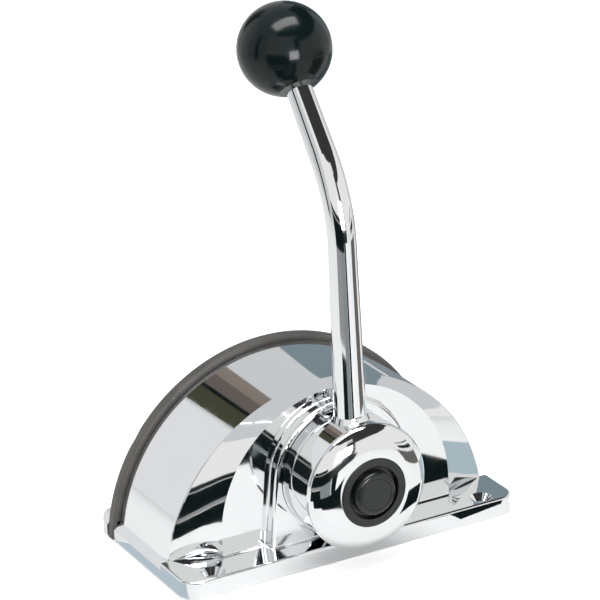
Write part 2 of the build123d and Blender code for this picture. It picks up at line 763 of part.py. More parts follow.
export_step(push_button.part, "parts/push_button.step")

with BuildPart() as button_disc:
    with BuildSketch(at_y(button_front_y)):
        with Locations((0, pivot_z)):
            Circle(button_disc_r)
    extrude(amount=-button_disc_thickness)
    fillet(button_disc.edges().group_by(Axis.Y)[0], 0.3)
button_disc.part.label = "button_disc"
export_step(button_disc.part, "parts/button_disc.step")

spring_r = clutch_rod_r + 3.4
spring_start_y = button_roof_y + spring_wire / 2 + 0.1
spring_length = recess_floor_y - spring_start_y - spring_wire / 2 - 0.1
spring_centre = Vector(0, spring_start_y, pivot_z)

with BuildPart() as button_spring:
    with BuildLine() as coil:
        Helix(
            pitch=spring_length / spring_turns,
            height=spring_length,
            radius=spring_r,
            center=spring_centre,
            direction=(0, 1, 0),
        )
    coil_start = coil.line @ 0
    with BuildSketch(Plane(coil_start, x_dir=coil_start - spring_centre, z_dir=coil.line % 0)):
        Rectangle(spring_wire, spring_wire)
    sweep(path=coil.line, is_frenet=True)
button_spring.part.label = "button_spring"
export_step(button_spring.part, "parts/button_spring.step")

# Clutch rod: slides inside the shaft, its cross pin drives the gear
slot_depth = 2 * clutch_pin_r + 0.2
gear_back_y = pinion_front_y + gear_width
clutch_pin_y = gear_back_y - slot_depth + clutch_pin_r + 0.1

with BuildPart() as clutch_rod:
    with BuildSketch(at_y(button_roof_y)):
        with Locations((0, pivot_z)):
            Circle(clutch_rod_r)
    extrude(amount=-(clutch_pin_y + 4 - button_roof_y))
    with BuildSketch(Plane.YZ.offset(-clutch_pin_half)):
        with Locations((clutch_pin_y, pivot_z)):
            Circle(clutch_pin_r)
    extrude(amount=2 * clutch_pin_half)
clutch_rod.part.label = "clutch_rod"
export_step(clutch_rod.part, "parts/clutch_rod.step")

# Hollow shaft, slotted for the cross pin, grooved for the circlip
shaft_back_y = cover_wall_y - 0.8
circlip_y = throttle_front_y + throttle_thickness + 0.3
circlip = 1.2
groove_depth = 0.8

with BuildPart() as pivot_shaft:
    with BuildSketch(at_y(shaft_front_y)):
        with Locations((0, pivot_z)):
            Circle(shaft_r)
    extrude(amount=-(shaft_back_y - shaft_front_y))
    chamfer(pivot_shaft.edges().group_by(Axis.Y)[-1], 0.6)
    with BuildSketch(at_y(shaft_front_y)):
        with Locations((0, pivot_z)):
            Circle(clutch_rod_r + clutch_rod_fit)
    extrude(amount=-(clutch_pin_y + 4 + button_travel + 2 - shaft_front_y), mode=Mode.SUBTRACT)
    slot_length = 2 * clutch_pin_r + button_travel + 0.6
    with BuildSketch(Plane.YZ.offset(-shaft_r - 1)):
        with Locations((clutch_pin_y + button_travel / 2, pivot_z)):
            Rectangle(slot_length, 2 * clutch_pin_r + 0.2)
    extrude(amount=2 * shaft_r + 2, mode=Mode.SUBTRACT)
    with BuildSketch(at_y(circlip_y)):
        with Locations((0, pivot_z)):
            Circle(shaft_r + 1)
            Circle(shaft_r - groove_depth, mode=Mode.SUBTRACT)
    extrude(amount=-(circlip + 0.1), mode=Mode.SUBTRACT)
pivot_shaft.part.label = "pivot_shaft"
export_step(pivot_shaft.part, "parts/pivot_shaft.step")

with BuildPart() as front_bush:
    with BuildSketch(at_y(seat_y)):
        with Locations((0, pivot_z)):
            Circle(bush_flange_r)
    extrude(amount=bush_flange)
    with BuildSketch(at_y(seat_y)):
        with Locations((0, pivot_z)):
            Circle(bush_r)
    extrude(amount=-(plate_inner_y + boss_inner_length - seat_y))
    with BuildSketch(at_y(seat_y - bush_flange)):
        with Locations((0, pivot_z)):
            Circle(shaft_r + shaft_fit)
    extrude(amount=-(plate_inner_y + boss_inner_length - seat_y + bush_flange), mode=Mode.SUBTRACT)
front_bush.part.label = "front_bush"
export_step(front_bush.part, "parts/front_bush.step")

with BuildPart() as rear_bush:
    with BuildSketch(at_y(boss_front_y)):
        with Locations((0, pivot_z)):
            Circle(bush_r)
            Circle(shaft_r + shaft_fit, mode=Mode.SUBTRACT)
    extrude(amount=-bush_length)
rear_bush.part.label = "rear_bush"
export_step(rear_bush.part, "parts/rear_bush.step")

# Gears: straight-flanked teeth, thinned for backlash
addendum = 0.8 * gear_module
dedendum = 1.1 * gear_module
flank_slope = tan(radians(20))
tooth_half = 0.19 * pi * gear_module


def gear_corners(teeth, first_angle):
    """Corners of a toothed outline about the origin, one tooth centred on first_angle."""
    pitch_r = teeth * gear_module / 2
    corners = []
    for i in range(teeth):
        middle = first_angle + 2 * pi * i / teeth
        for side, rise in ((-1, -dedendum), (-1, addendum), (1, addendum), (1, -dedendum)):
            half = tooth_half - rise * flank_slope
            radius = pitch_r + rise
            turn = middle + side * asin(half / radius)
            corners.append((radius * cos(turn), radius * sin(turn)))
    return corners


mesh_angle = atan2(shift_z - pivot_z, shift_x)
sector_angle = mesh_angle - pi
sector_phase = sector_angle + pi / sector_teeth

with BuildPart() as drive_gear:
    with BuildSketch(at_y(pinion_front_y)):
        with Locations((0, pivot_z)):
            Polygon(*gear_corners(pinion_teeth, mesh_angle), align=None)
            Circle(shaft_r + shaft_fit, mode=Mode.SUBTRACT)
    extrude(amount=-gear_width)
    with BuildSketch(at_y(gear_back_y)):
        with Locations((0, pivot_z)):
            Rectangle(4 * shaft_r, 2 * clutch_pin_r + 0.2)
    extrude(amount=slot_depth, mode=Mode.SUBTRACT)
drive_gear.part.label = "drive_gear"
export_step(drive_gear.part, "parts/drive_gear.step")

sector_hub_r = 9.0
sector_tip = sector_teeth * gear_module / 2 + addendum + 4
wedge = radians(sector_span)
arm_angle = pi

with BuildPart() as shift_arm:
    with BuildSketch(at_y(pinion_front_y)):
        with Locations((shift_x, shift_z)):
            Polygon(*gear_corners(sector_teeth, sector_phase), align=None)
            Polygon(
                (0, 0),
                (2 * sector_tip * cos(sector_angle - wedge), 2 * sector_tip * sin(sector_angle - wedge)),
                (4 * sector_tip * cos(sector_angle), 4 * sector_tip * sin(sector_angle)),
                (2 * sector_tip * cos(sector_angle + wedge), 2 * sector_tip * sin(sector_angle + wedge)),
                align=None,
                mode=Mode.INTERSECT,
            )
            Circle(sector_hub_r)
        with Locations((shift_x - shift_radius / 2, shift_z)):
            Rectangle(shift_radius, 2 * arm_boss_r - 1.4)
        with Locations((shift_x - shift_radius, shift_z)):
            Circle(arm_boss_r)
            Circle(cable_shank_r, mode=Mode.SUBTRACT)
        with Locations((shift_x, shift_z)):
            Circle(shift_pin_r + shaft_fit, mode=Mode.SUBTRACT)
    extrude(amount=-gear_width)
shift_arm.part.label = "shift_arm"
export_step(shift_arm.part, "parts/shift_arm.step")

pin_groove = 0.7
shift_clip_y = gear_back_y + part_gap

with BuildPart() as shift_pin:
    with BuildSketch(at_y(plate_inner_y)):
        with Locations((shift_x, shift_z)):
            Circle(shift_pin_r)
    extrude(amount=-(shift_clip_y + clip_thickness + 1.5 - plate_inner_y))
    with BuildSketch(at_y(shift_clip_y)):
        with Locations((shift_x, shift_z)):
            Circle(shift_pin_r + 1)
            Circle(shift_pin_r - pin_groove, mode=Mode.SUBTRACT)
    extrude(amount=-(clip_thickness + 0.1), mode=Mode.SUBTRACT)
shift_pin.part.label = "shift_pin"
export_step(shift_pin.part, "parts/shift_pin.step")

with BuildPart() as shift_pin_clip:
    with BuildSketch(at_y(shift_clip_y + 0.05)):
        with Locations((shift_x, shift_z)):
            Circle(shift_pin_r + 2.4)
            Circle(shift_pin_r - pin_groove, mode=Mode.SUBTRACT)
        with Locations((shift_x, shift_z - shift_pin_r)):
            Rectangle(1.4 * shift_pin_r, 2 * shift_pin_r, mode=Mode.SUBTRACT)
    extrude(amount=-clip_thickness)
shift_pin_clip.part.label = "shift_pin_clip"
export_step(shift_pin_clip.part, "parts/shift_pin_clip.step")

# Detent disc: three notches for neutral and the two in-gear stops, one cam for the switch
notch_half = detent_notch + 0.3

with BuildPart() as detent_disc:
    with BuildSketch(at_y(detent_front_y)):
        with Locations((0, pivot_z)):
            Circle(detent_r)
            with Locations((detent_r, 0)):
                Rectangle(2 * cam_rise, 3.6)
            for turn in (-detent_step, 0, detent_step):
                with Locations(Rotation(0, 0, turn)):
                    Polygon(
                        (0, detent_r - detent_notch),
                        (notch_half, detent_r + 0.3),
                        (-notch_half, detent_r + 0.3),
                        align=None,
                        mode=Mode.SUBTRACT,
                    )
            Circle(shaft_r, mode=Mode.SUBTRACT)
    extrude(amount=-detent_width)
detent_disc.part.label = "detent_disc"
export_step(detent_disc.part, "parts/detent_disc.step")

leaf_nose = pivot_z + detent_r - detent_notch + 0.6
nose_half = leaf_base_z - leaf_nose

with BuildPart() as detent_leaf:
    with BuildSketch(at_y(detent_mid_y - leaf_width / 2)):
        Polygon(
            (leaf_end_x, leaf_base_z),
            (-nose_half, leaf_base_z),
            (0, leaf_nose),
            (nose_half, leaf_base_z),
            (nose_half + 4, leaf_base_z),
            (nose_half + 4, leaf_top_z),
            (nose_half - 0.3, leaf_top_z),
            (0, leaf_nose + 1.2),
            (0.3 - nose_half, leaf_top_z),
            (leaf_end_x, leaf_top_z),
            align=None,
        )
    extrude(amount=-leaf_width)
    with BuildSketch(Plane.XY.offset(leaf_base_z - 1)):
        with Locations((leaf_screw_x, detent_mid_y)):
            Circle(leaf_screw_r)
    extrude(amount=3, mode=Mode.SUBTRACT)
detent_leaf.part.label = "detent_leaf"
export_step(detent_leaf.part, "parts/detent_leaf.step")

with BuildPart() as detent_screw:
    with BuildSketch(Plane.XY.offset(leaf_base_z)):
        with Locations((leaf_screw_x, detent_mid_y)):
            Circle(3.5)
            RegularPolygon(1.5, 6, mode=Mode.SUBTRACT)
    extrude(amount=-2.6)
    with BuildSketch(Plane.XY.offset(leaf_base_z)):
        with Locations((leaf_screw_x, detent_mid_y)):
            Circle(leaf_screw_r)
    extrude(amount=8)
detent_screw.part.label = "detent_screw"
export_step(detent_screw.part, "parts/detent_screw.step")

# Throttle arm with its long hub, circlip, and the two cable pins with split-pin holes
with BuildPart() as throttle_arm:
    with BuildSketch(at_y(sleeve_front_y)):
        with Locations((0, pivot_z)):
            Circle(sleeve_r)
    extrude(amount=-(sleeve_length + throttle_thickness))
    with BuildSketch(at_y(throttle_front_y)):
        with Locations((throttle_radius / 2, pivot_z)):
            Rectangle(throttle_radius, 2 * arm_boss_r - 1.0)
        with Locations((throttle_radius, pivot_z)):
            Circle(arm_boss_r)
    extrude(amount=-throttle_thickness)
    with BuildSketch(at_y(sleeve_front_y)):
        with Locations((0, pivot_z)):
            Circle(shaft_r)
    extrude(amount=-(sleeve_length + throttle_thickness), mode=Mode.SUBTRACT)
    with BuildSketch(at_y(throttle_front_y)):
        with Locations((throttle_radius, pivot_z)):
            Circle(cable_shank_r)
    extrude(amount=-throttle_thickness, mode=Mode.SUBTRACT)
throttle_arm.part.label = "throttle_arm"
export_step(throttle_arm.part, "parts/throttle_arm.step")

with BuildPart() as shaft_circlip:
    with BuildSketch(at_y(circlip_y + 0.05)):
        with Locations((0, pivot_z)):
            Circle(shaft_r + 2.6)
            Circle(shaft_r - groove_depth, mode=Mode.SUBTRACT)
        with Locations((0, pivot_z - shaft_r)):
            Rectangle(shaft_r, 2 * shaft_r, mode=Mode.SUBTRACT)
    extrude(amount=-circlip)
shaft_circlip.part.label = "shaft_circlip"
export_step(shaft_circlip.part, "parts/shaft_circlip.step")

throttle_back_y = throttle_front_y + throttle_thickness
split_hole_r = 0.8
split_hole_inset = 2.0

with BuildPart() as throttle_cable_pin:
    with BuildSketch(at_y(throttle_front_y)):
        with Locations((throttle_radius, pivot_z)):
            Circle(rivet_r)
    extrude(amount=rivet_thickness)
    with BuildSketch(at_y(throttle_front_y)):
        with Locations((throttle_radius, pivot_z)):
            Circle(cable_shank_r)
    extrude(amount=-throttle_thickness)
    with BuildSketch(at_y(throttle_back_y)):
        with Locations((throttle_radius, pivot_z)):
            Circle(cable_pin_r)
    extrude(amount=-cable_pin_reach)
    with BuildSketch(Plane.XY.offset(pivot_z - cable_pin_r - 1)):
        with Locations((throttle_radius, throttle_back_y + cable_pin_reach - split_hole_inset)):
            Circle(split_hole_r)
    extrude(amount=2 * cable_pin_r + 2, mode=Mode.SUBTRACT)
throttle_cable_pin.part.label = "throttle_cable_pin"
export_step(throttle_cable_pin.part, "parts/throttle_cable_pin.step")

with BuildPart() as shift_cable_pin:
    with BuildSketch(at_y(pinion_front_y)):
        with Locations((shift_x - shift_radius, shift_z)):
            Circle(rivet_r)
    extrude(amount=rivet_thickness)
    with BuildSketch(at_y(pinion_front_y)):
        with Locations((shift_x - shift_radius, shift_z)):
            Circle(cable_shank_r)
    extrude(amount=-gear_width)
    with BuildSketch(at_y(gear_back_y)):
        with Locations((shift_x - shift_radius, shift_z)):
            Circle(cable_pin_r)
    extrude(amount=-cable_pin_reach)
    with BuildSketch(Plane.XY.offset(shift_z - cable_pin_r - 1)):
        with Locations(
            (shift_x - shift_radius, gear_back_y + cable_pin_reach - split_hole_inset)
        ):
            Circle(split_hole_r)
    extrude(amount=2 * cable_pin_r + 2, mode=Mode.SUBTRACT)
shift_cable_pin.part.label = "shift_cable_pin"
export_step(shift_cable_pin.part, "parts/shift_cable_pin.step")

# Friction brake: pad under the throttle sleeve, pushed up by a screw with a lock nut
pad_bottom_z = brake_top_z + 9
screw_top_z = pad_bottom_z + 2
pad_half_y = 4.0

with BuildPart() as friction_pad:
    with BuildSketch(at_y(brake_y - pad_half_y)):
        with Locations((0, (pad_bottom_z + pivot_z - 9) / 2)):
            Rectangle(11, pivot_z - 9 - pad_bottom_z)
        with Locations((0, pivot_z)):
            Circle(sleeve_r + running_gap, mode=Mode.SUBTRACT)
    extrude(amount=-2 * pad_half_y)
    with BuildSketch(Plane.XY.offset(pad_bottom_z)):
        with Locations((0, brake_y)):
            Circle(brake_screw_r - 1)
    extrude(amount=2, mode=Mode.SUBTRACT)
friction_pad.part.label = "friction_pad"
export_step(friction_pad.part, "parts/friction_pad.step")

with BuildPart() as friction_screw:
    with BuildSketch(Plane.XY.offset(2)):
        with Locations((0, brake_y)):
            Circle(brake_screw_r)
    extrude(amount=pad_bottom_z - 2)
    with BuildSketch(Plane.XY.offset(pad_bottom_z)):
        with Locations((0, brake_y)):
            Circle(brake_screw_r - 1)
    extrude(amount=2)
    with BuildSketch(Plane.XY.offset(2)):
        with Locations((0, brake_y)):
            Rectangle(2 * brake_screw_r, 1.2)
    extrude(amount=1.5, mode=Mode.SUBTRACT)
friction_screw.part.label = "friction_screw"
export_step(friction_screw.part, "parts/friction_screw.step")

with BuildPart() as friction_nut:
    with BuildSketch(Plane.XY.offset(brake_top_z)):
        with Locations((0, brake_y)):
            RegularPolygon(brake_half_width, 6)
            Circle(brake_screw_r, mode=Mode.SUBTRACT)
    extrude(amount=3.6)
friction_nut.part.label = "friction_nut"
export_step(friction_nut.part, "parts/friction_nut.step")

# Cable clamps: bent saddles screwed to the ledges
with BuildPart() as cable_saddles:
    for ledge_x, depth_y in ((throttle_ledge_x, ledge_y), (shift_ledge_x, shift_cable_y)):
        side = 1 if ledge_x > 0 else -1
        with BuildSketch(Plane.XY.offset(1.2)):
            with Locations((ledge_x - side * saddle_groove_r, depth_y)):
                Circle(saddle_groove_r + saddle_thickness)
            with Locations((ledge_x - side * saddle_groove_r / 2, depth_y)):
                Rectangle(saddle_groove_r, 2 * (saddle_groove_r + saddle_thickness))
            with Locations((ledge_x - side * saddle_thickness / 2, depth_y)):
                Rectangle(saddle_thickness, ledge_width - 1)
            with Locations((ledge_x - side * saddle_groove_r, depth_y)):
                Circle(saddle_groove_r, mode=Mode.SUBTRACT)
            with Locations((ledge_x - side * saddle_groove_r / 2, depth_y)):
                Rectangle(saddle_groove_r, 2 * saddle_groove_r, mode=Mode.SUBTRACT)
            with Locations((ledge_x + side * saddle_groove_r, depth_y)):
                Rectangle(2 * saddle_groove_r, ledge_width, mode=Mode.SUBTRACT)
        extrude(amount=saddle_length)
        with BuildSketch(Plane.YZ.offset(ledge_x)):
            with Locations((depth_y - 8, 4.8), (depth_y + 8, 4.8)):
                Circle(1.5)
        extrude(amount=-side * saddle_thickness, mode=Mode.SUBTRACT)
cable_saddles.part.label = "cable_saddles"
export_step(cable_saddles.part, "parts/cable_saddles.step")

with BuildPart() as saddle_screws:
    for ledge_x, depth_y in ((throttle_ledge_x, ledge_y), (shift_ledge_x, shift_cable_y)):
        side = 1 if ledge_x > 0 else -1
        head_x = ledge_x - side * saddle_thickness
        with BuildSketch(Plane.YZ.offset(head_x)):
            with Locations((depth_y - 8, 4.8), (depth_y + 8, 4.8)):
                Circle(1.5)
        extrude(amount=side * 9)
        with BuildSketch(Plane.YZ.offset(head_x)):
            with Locations((depth_y - 8, 4.8), (depth_y + 8, 4.8)):
                Circle(2.2)
        extrude(amount=-side * 1.8)
saddle_screws.part.label = "saddle_screws"
export_step(saddle_screws.part, "parts/saddle_screws.step")

# Neutral start switch
switch_mid_x = switch_front_x + switch_body / 2

with BuildPart() as neutral_switch:
    with BuildSketch(at_y(switch_pad_y)):
        with Locations((switch_mid_x, pivot_z)):
            Rectangle(switch_body, switch_height)
    extrude(amount=-switch_depth)
    fillet(neutral_switch.edges().filter_by(Axis.Y), 0.6)
    with BuildSketch(at_y(switch_pad_y)):
        with Locations((switch_mid_x, pivot_z - 6), (switch_mid_x, pivot_z + 6)):
            Circle(1.25)
    extrude(amount=-switch_depth, mode=Mode.SUBTRACT)
    with BuildSketch(Plane.YZ.offset(switch_front_x)):
        with Locations((detent_mid_y, pivot_z)):
            Circle(plunger_r + 0.08)
    extrude(amount=4.5, mode=Mode.SUBTRACT)
neutral_switch.part.label = "neutral_switch"
export_step(neutral_switch.part, "parts/neutral_switch.step")

with BuildPart() as switch_plunger:
    with BuildSketch(Plane.YZ.offset(detent_r + cam_rise + 0.3)):
        with Locations((detent_mid_y, pivot_z)):
            Circle(plunger_r)
    extrude(amount=switch_x + 2.5 - 0.3)
    fillet(switch_plunger.edges().group_by(Axis.X)[0], 0.6)
switch_plunger.part.label = "switch_plunger"
export_step(switch_plunger.part, "parts/switch_plunger.step")

with BuildPart() as switch_screws:
    with BuildSketch(at_y(switch_pad_y + switch_depth)):
        with Locations((switch_mid_x, pivot_z - 6), (switch_mid_x, pivot_z + 6)):
            Circle(1.25)
    extrude(amount=switch_depth + 7)
    with BuildSketch(at_y(switch_pad_y + switch_depth)):
        with Locations((switch_mid_x, pivot_z - 6), (switch_mid_x, pivot_z + 6)):
            Circle(2.3)
            RegularPolygon(1.0, 6, mode=Mode.SUBTRACT)
    extrude(amount=-1.8)
switch_screws.part.label = "switch_screws"
export_step(switch_screws.part, "parts/switch_screws.step")

with BuildPart() as switch_terminals:
    with BuildSketch(Plane.YZ.offset(switch_front_x + switch_body)):
        with Locations(
            (detent_mid_y, pivot_z - 6),
            (detent_mid_y, pivot_z),
            (detent_mid_y, pivot_z + 6),
        ):
            Rectangle(0.8, 3.2)
    extrude(amount=6)
switch_terminals.part.label = "switch_terminals"
export_step(switch_terminals.part, "parts/switch_terminals.step")
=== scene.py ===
"""Boat throttle control: the finishes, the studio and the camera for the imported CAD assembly.

Metres, in the frame of the CAD model: +X along the boat, +Y towards the closed back, +Z up.
"""

import bmesh
import bpy
import numpy as np
from mathutils import Matrix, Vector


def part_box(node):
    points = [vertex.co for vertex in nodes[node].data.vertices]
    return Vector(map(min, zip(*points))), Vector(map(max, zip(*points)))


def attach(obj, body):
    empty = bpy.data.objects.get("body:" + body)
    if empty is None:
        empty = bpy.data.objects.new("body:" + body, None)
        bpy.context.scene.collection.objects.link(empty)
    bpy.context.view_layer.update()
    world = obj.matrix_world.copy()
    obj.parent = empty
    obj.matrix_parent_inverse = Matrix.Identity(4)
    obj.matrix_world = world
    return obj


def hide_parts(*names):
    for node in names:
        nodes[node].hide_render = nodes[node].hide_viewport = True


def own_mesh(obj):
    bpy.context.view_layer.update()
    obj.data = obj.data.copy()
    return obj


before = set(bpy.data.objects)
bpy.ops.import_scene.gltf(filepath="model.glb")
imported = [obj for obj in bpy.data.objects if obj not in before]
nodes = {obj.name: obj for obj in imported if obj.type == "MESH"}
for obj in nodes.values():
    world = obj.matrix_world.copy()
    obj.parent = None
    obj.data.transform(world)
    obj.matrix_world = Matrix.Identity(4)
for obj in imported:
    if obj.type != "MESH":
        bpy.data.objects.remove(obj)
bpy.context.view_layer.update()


# ---------------------------------------------------------------- housing
# One zinc die casting, ground, polished and plated with bright chromium. The plating is
# thin, so it keeps the slight waves that the polishing wheel leaves in the casting.
chrome_tint = (0.83, 0.84, 0.85, 1.0)
cloud_low, cloud_high = 0.3, 0.7  # nearly all of the noise lies between these values


def new_finish(name):
    """An empty material with its Principled shader, output and Object coordinates."""
    material = bpy.data.materials.new(name)
    material.use_nodes = True
    tree = material.node_tree
    tree.nodes.clear()
    output = tree.nodes.new("ShaderNodeOutputMaterial")
    shader = tree.nodes.new("ShaderNodeBsdfPrincipled")
    tree.links.new(shader.outputs["BSDF"], output.inputs["Surface"])
    place = tree.nodes.new("ShaderNodeTexCoord").outputs["Object"]
    return material, tree, shader, place


def cloud(tree, place, scale, detail=3.0, stretch=(1.0, 1.0, 1.0)):
    """Noise over Object coordinates. A stretch value below 1 draws the pattern out along its
    axis, and one above 1 packs it closer."""
    mapping = tree.nodes.new("ShaderNodeMapping")
    mapping.inputs["Scale"].default_value = stretch
    tree.links.new(place, mapping.inputs["Vector"])
    noise = tree.nodes.new("ShaderNodeTexNoise")
    noise.inputs["Scale"].default_value = scale
    noise.inputs["Detail"].default_value = detail
    tree.links.new(mapping.outputs["Vector"], noise.inputs["Vector"])
    return noise.outputs["Fac"]


def tint(tree, shader, value, dark, light):
    """Base colour from dark to light (red, green, blue), by the value."""
    ramp = tree.nodes.new("ShaderNodeValToRGB")
    ramp.color_ramp.elements[0].position = cloud_low
    ramp.color_ramp.elements[0].color = (*dark, 1.0)
    ramp.color_ramp.elements[1].position = cloud_high
    ramp.color_ramp.elements[1].color = (*light, 1.0)
    tree.links.new(value, ramp.inputs["Fac"])
    tree.links.new(ramp.outputs["Color"], shader.inputs["Base Color"])


def sheen(tree, shader, value, low, high):
    """Roughness from low to high, by the value."""
    ramp = tree.nodes.new("ShaderNodeMapRange")
    ramp.inputs["From Min"].default_value = cloud_low
    ramp.inputs["From Max"].default_value = cloud_high
    ramp.inputs["To Min"].default_value = low
    ramp.inputs["To Max"].default_value = high
    tree.links.new(value, ramp.inputs["Value"])
    tree.links.new(ramp.outputs["Result"], shader.inputs["Roughness"])


def relief(tree, shader, height, depth):
    """The height as a bump on the shader, depth metres from its lowest to its highest."""
    bump = tree.nodes.new("ShaderNodeBump")
    bump.inputs["Distance"].default_value = depth
    bump.inputs["Strength"].default_value = 1.0
    tree.links.new(height, bump.inputs["Height"])
    tree.links.new(bump.outputs["Normal"], shader.inputs["Normal"])


def dress(name, material):
    """Gives a CAD node its finish."""
    slots = nodes[name].data.materials
    slots.clear()
    slots.append(material)


chrome, tree, shader, place = new_finish("bright_chrome")
shader.inputs["Metallic"].default_value = 1.0
shader.inputs["Base Color"].default_value = chrome_tint
haze = cloud(tree, place, scale=90.0)
sheen(tree, shader, haze, low=0.035, high=0.075)
polish_waves = cloud(tree, place, scale=38.0, detail=1.0)
relief(tree, shader, polish_waves, depth=0.000012)
dress("housing", chrome)


# ---------------------------------------------------------------- back cover
# Moulded in glass-filled nylon, its rim a satin brown-grey, a little lighter where the
# mould wore smooth. Four blackened screws clamp it to the drum's back edge; the hub's grub
# screws are blackened in the same way.
cover_finish, tree, shader, place = new_finish("moulded_nylon")
grain = cloud(tree, place, scale=1400.0, detail=2.0)
patch = cloud(tree, place, scale=60.0)
tint(tree, shader, patch, dark=(0.072, 0.068, 0.062), light=(0.105, 0.098, 0.090))
sheen(tree, shader, grain, low=0.42, high=0.58)
relief(tree, shader, grain, depth=0.00005)
dress("rear_cover", cover_finish)

blackened, tree, shader, place = new_finish("blackened_screw")
shader.inputs["Metallic"].default_value = 1.0
wear = cloud(tree, place, scale=900.0)
tint(tree, shader, wear, dark=(0.05, 0.05, 0.052), light=(0.11, 0.11, 0.115))
sheen(tree, shader, wear, low=0.32, high=0.5)
for name in ("cover_screws", "grub_screws"):
    dress(name, blackened)


# ---------------------------------------------------------------- hub and lever
# The hub is turned and the lever is a bent bar with a screwed spigot. Both are plated
# with the housing's bright chromium.
for name in ("lever_hub", "lever_rod"):
    dress(name, chrome)


# ---------------------------------------------------------------- ball knob
# Compression-moulded phenolic ball, buffed to a high gloss. A turned brass insert is moulded
# in for the thread; the switch's terminals are blanked from brass too.
phenolic, tree, shader, place = new_finish("gloss_phenolic")
mottle = cloud(tree, place, scale=50.0)
tint(tree, shader, mottle, dark=(0.002, 0.006, 0.006), light=(0.004, 0.010, 0.010))
buffing = cloud(tree, place, scale=160.0)
sheen(tree, shader, buffing, low=0.12, high=0.18)
shader.inputs["Specular IOR Level"].default_value = 0.3
moulding_waves = cloud(tree, place, scale=45.0, detail=1.0)
relief(tree, shader, moulding_waves, depth=0.00002)
dress("knob", phenolic)

brass, tree, shader, place = new_finish("turned_brass")
shader.inputs["Metallic"].default_value = 1.0
lay = cloud(tree, place, scale=700.0, detail=2.0, stretch=(1.0, 1.0, 8.0))
tint(tree, shader, lay, dark=(0.55, 0.38, 0.15), light=(0.72, 0.52, 0.24))
sheen(tree, shader, lay, low=0.2, high=0.35)
for name in ("knob_insert", "switch_terminals"):
    dress(name, brass)


# ---------------------------------------------------------------- bezel and button
# Acetal ring pressed into the hub and the button that slides in it, both moulded satin
# black. A glossy disc is laid into the button's face and stays plain.
acetal, tree, shader, place = new_finish("satin_acetal")
fine = cloud(tree, place, scale=2600.0, detail=2.0)
tint(tree, shader, fine, dark=(0.007, 0.009, 0.009), light=(0.012, 0.014, 0.014))
sheen(tree, shader, fine, low=0.22, high=0.30)
relief(tree, shader, fine, depth=0.00002)
for name in ("hub_bezel", "push_button"):
    dress(name, acetal)

inlay, tree, shader, place = new_finish("gloss_inlay")
ink = cloud(tree, place, scale=400.0)
tint(tree, shader, ink, dark=(0.006, 0.008, 0.008), light=(0.010, 0.012, 0.012))
lacquer = cloud(tree, place, scale=300.0)
sheen(tree, shader, lacquer, low=0.08, high=0.12)
dress("button_disc", inlay)


# ---------------------------------------------------------------- button spring
# Compression spring coiled from drawn stainless wire. It stands between the button's roof
# and the floor of the hub's recess.
wire_radius = 0.0005
coil_turns = 3.0
spring_low, spring_high = (np.array(corner, float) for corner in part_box("button_spring"))
spring_extent = spring_high - spring_low


def coil(name, start, radius, length):
    """A round wire swept along a helix about Y, capped at both ends:
    C(t) = start + (radius cos a, length t, radius sin a), with a = 2 pi coil_turns t, and
    P(t, u) = C(t) + wire_radius (cos u N + sin u B), N away from the axis and B = T x N."""
    along, around = 145, 12
    t = np.linspace(0.0, 1.0, along)[:, None]
    a = 2 * np.pi * coil_turns * t
    centre = start + np.hstack([radius * np.cos(a), length * t, radius * np.sin(a)])
    outward = np.hstack([np.cos(a), 0 * a, np.sin(a)])
    slope = 2 * np.pi * coil_turns * radius
    onward = np.hstack([-slope * np.sin(a), length + 0 * a, slope * np.cos(a)])
    onward /= np.linalg.norm(onward, axis=1)[:, None]
    across = np.cross(onward, outward)
    u = np.linspace(0.0, 2 * np.pi, around, endpoint=False)[None, :, None]
    places = centre[:, None] + wire_radius * (np.cos(u) * outward[:, None] + np.sin(u) * across[:, None])
    first = around * np.arange(along - 1)[:, None]
    here = first + np.arange(around)
    beside = first + np.roll(np.arange(around), -1)
    faces = np.stack([here, beside, beside + around, here + around], axis=-1).reshape(-1, 4).tolist()
    faces.append(list(range(around))[::-1])
    faces.append(list(range((along - 1) * around, along * around)))
    mesh = bpy.data.meshes.new(name)
    mesh.from_pydata(places.reshape(-1, 3).tolist(), [], faces)
    mesh.polygons.foreach_set("use_smooth", [True] * (len(faces) - 2) + [False] * 2)
    piece = bpy.data.objects.new(name, mesh)
    bpy.context.scene.collection.objects.link(piece)
    return piece


spring = coil(
    "button_coil_spring",
    np.array([0.0, spring_low[1] + wire_radius, (spring_low[2] + spring_high[2]) / 2]),
    spring_extent[0] / 2 - wire_radius,
    spring_extent[1] - 2 * wire_radius,
)
drawn_wire, tree, shader, place = new_finish("drawn_wire")
shader.inputs["Metallic"].default_value = 1.0
drag = cloud(tree, place, scale=1800.0, detail=2.0)
tint(tree, shader, drag, dark=(0.50, 0.50, 0.51), light=(0.66, 0.66, 0.67))
sheen(tree, shader, drag, low=0.2, high=0.32)
spring.data.materials.append(drawn_wire)
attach(spring, "lever")
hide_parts("button_spring")
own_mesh(spring)


# ---------------------------------------------------------------- plated steel works
# Gear, geared shift arm, detent disc, throttle arm and the screws and saddles that hold the
# works. All are steel, zinc plated with a pale clear passivation.
zinc, tree, shader, place = new_finish("zinc_plate")
shader.inputs["Metallic"].default_value = 1.0
bloom = cloud(tree, place, scale=220.0, detail=4.0)
tint(tree, shader, bloom, dark=(0.52, 0.54, 0.58), light=(0.66, 0.67, 0.68))
sheen(tree, shader, bloom, low=0.28, high=0.42)
for name in (
    "drive_gear", "shift_arm", "shift_pin", "detent_disc", "detent_screw", "throttle_arm",
    "friction_screw", "friction_nut", "cable_saddles", "saddle_screws", "switch_screws",
):
    dress(name, zinc)


